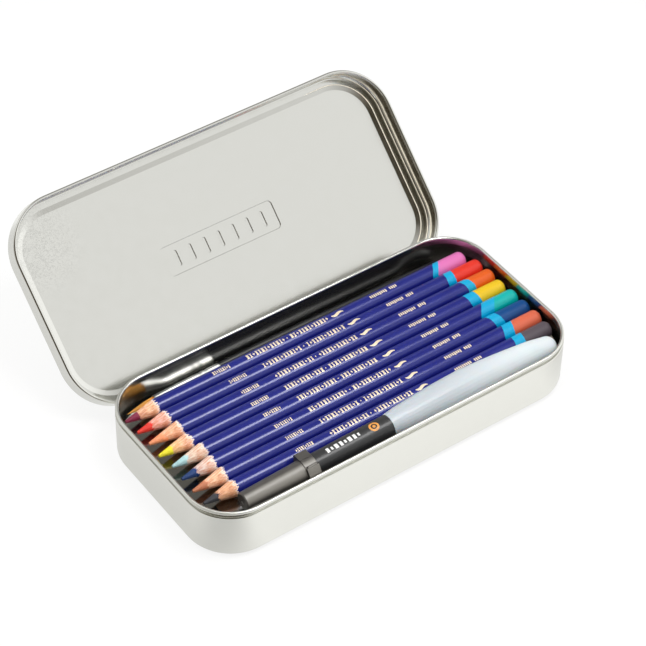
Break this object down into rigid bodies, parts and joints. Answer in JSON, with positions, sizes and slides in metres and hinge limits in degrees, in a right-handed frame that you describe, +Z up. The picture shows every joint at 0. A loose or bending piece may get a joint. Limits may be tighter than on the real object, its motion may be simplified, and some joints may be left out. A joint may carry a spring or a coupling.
{
  "type": "colored pencil tin",
  "caption": "Hinged flat pencil tin with rounded corners, its lid laid open, holding a lift-out tray of lacquered coloured pencils, a slim round brush and a capped water brush.",
  "frame": {"origin": "centre of the tin body's underside, on the table", "axes": "+X along the tin's length from the pencils' points to their dipped ends, +Y to the back where the hinge and the open lid are, +Z up"},
  "size_m": [0.1894, 0.1635, 0.072],
  "materials": {
    "tinplate": "satin tinplate",
    "wire": "drawn wire",
    "tray_metal": "bright pressed sheet",
    "pencil_lacquer": "gloss navy lacquer on wood",
    "golden_bristle": "fine synthetic hair",
    "ferrule": "bright nickel",
    "black_lacquer": "gloss black lacquer on wood",
    "smoky_plastic": "translucent smoky grey",
    "white_nylon": "fine synthetic hair",
    "white_plastic": "moulded",
    "black_plastic": "satin moulded",
    "clear_plastic": "soft translucent bluish white",
    "core_1": "wax core",
    "core_2": "wax core",
    "core_3": "wax core",
    "core_4": "wax core",
    "core_5": "wax core",
    "core_6": "wax core",
    "core_7": "wax core",
    "core_8": "wax core",
    "dip_1": "dipped gloss lacquer",
    "dip_2": "dipped gloss lacquer",
    "dip_3": "dipped gloss lacquer",
    "dip_4": "dipped gloss lacquer",
    "dip_5": "dipped gloss lacquer",
    "dip_6": "dipped gloss lacquer",
    "dip_7": "dipped gloss lacquer",
    "dip_8": "dipped gloss lacquer"
  },
  "bodies": {
    "tin": {"base_shell": "tinplate", "hinge_pin_left": "wire", "hinge_pin_right": "wire"},
    "lid": {"lid_shell": "tinplate"},
    "tray": {"insert_tray": "tray_metal"},
    "pencil_1": {"pencil_1_barrel": "pencil_lacquer", "pencil_1_core": "core_1", "pencil_1_dip": "dip_1"},
    "pencil_2": {"pencil_2_barrel": "pencil_lacquer", "pencil_2_core": "core_2", "pencil_2_dip": "dip_2"},
    "pencil_3": {"pencil_3_barrel": "pencil_lacquer", "pencil_3_core": "core_3", "pencil_3_dip": "dip_3"},
    "pencil_4": {"pencil_4_barrel": "pencil_lacquer", "pencil_4_core": "core_4", "pencil_4_dip": "dip_4"},
    "pencil_5": {"pencil_5_barrel": "pencil_lacquer", "pencil_5_core": "core_5", "pencil_5_dip": "dip_5"},
    "pencil_6": {"pencil_6_barrel": "pencil_lacquer", "pencil_6_core": "core_6", "pencil_6_dip": "dip_6"},
    "pencil_7": {"pencil_7_barrel": "pencil_lacquer", "pencil_7_core": "core_7", "pencil_7_dip": "dip_7"},
    "pencil_8": {"pencil_8_barrel": "pencil_lacquer", "pencil_8_core": "core_8", "pencil_8_dip": "dip_8"},
    "brush": {"brush_bristles": "golden_bristle", "brush_ferrule": "ferrule", "brush_handle": "black_lacquer"},
    "water_brush": {"water_brush_bristles": "white_nylon", "water_brush_feed": "white_plastic", "water_brush_grip": "black_plastic", "water_brush_barrel": "clear_plastic"},
    "water_brush_cap": {"water_brush_cap": "smoky_plastic"}
  },
  "joints": [
    {"name": "lid_hinge", "type": "hinge", "parent": "tin", "child": "lid", "pos_m": [0, 0.0436, 0.0157], "axis": [-1, 0, 0], "range_deg": [-137.4, 3]},
    {"name": "tray_lift", "type": "slide", "parent": "tin", "child": "tray", "axis": [0, 0, 1], "range_m": [0, 0.036]},
    {"name": "pencil_1_lift", "type": "slide", "parent": "tray", "child": "pencil_1", "axis": [0, 0, 1], "range_m": [0, 0.04]},
    {"name": "pencil_2_lift", "type": "slide", "parent": "tray", "child": "pencil_2", "axis": [0, 0, 1], "range_m": [0, 0.04]},
    {"name": "pencil_3_lift", "type": "slide", "parent": "tray", "child": "pencil_3", "axis": [0, 0, 1], "range_m": [0, 0.04]},
    {"name": "pencil_4_lift", "type": "slide", "parent": "tray", "child": "pencil_4", "axis": [0, 0, 1], "range_m": [0, 0.04]},
    {"name": "pencil_5_lift", "type": "slide", "parent": "tray", "child": "pencil_5", "axis": [0, 0, 1], "range_m": [0, 0.04]},
    {"name": "pencil_6_lift", "type": "slide", "parent": "tray", "child": "pencil_6", "axis": [0, 0, 1], "range_m": [0, 0.04]},
    {"name": "pencil_7_lift", "type": "slide", "parent": "tray", "child": "pencil_7", "axis": [0, 0, 1], "range_m": [0, 0.04]},
    {"name": "pencil_8_lift", "type": "slide", "parent": "tray", "child": "pencil_8", "axis": [0, 0, 1], "range_m": [0, 0.04]},
    {"name": "brush_lift", "type": "slide", "parent": "tray", "child": "brush", "axis": [0, 0, 1], "range_m": [0, 0.04]},
    {"name": "water_brush_lift", "type": "slide", "parent": "pencil_8", "child": "water_brush", "axis": [0, 0, 1], "range_m": [0, 0.04]},
    {"name": "cap_pull", "type": "slide", "parent": "water_brush", "child": "water_brush_cap", "axis": [-0.9999, 0.0065, -0.0152], "range_m": [0, 0.0102]}
  ]
}
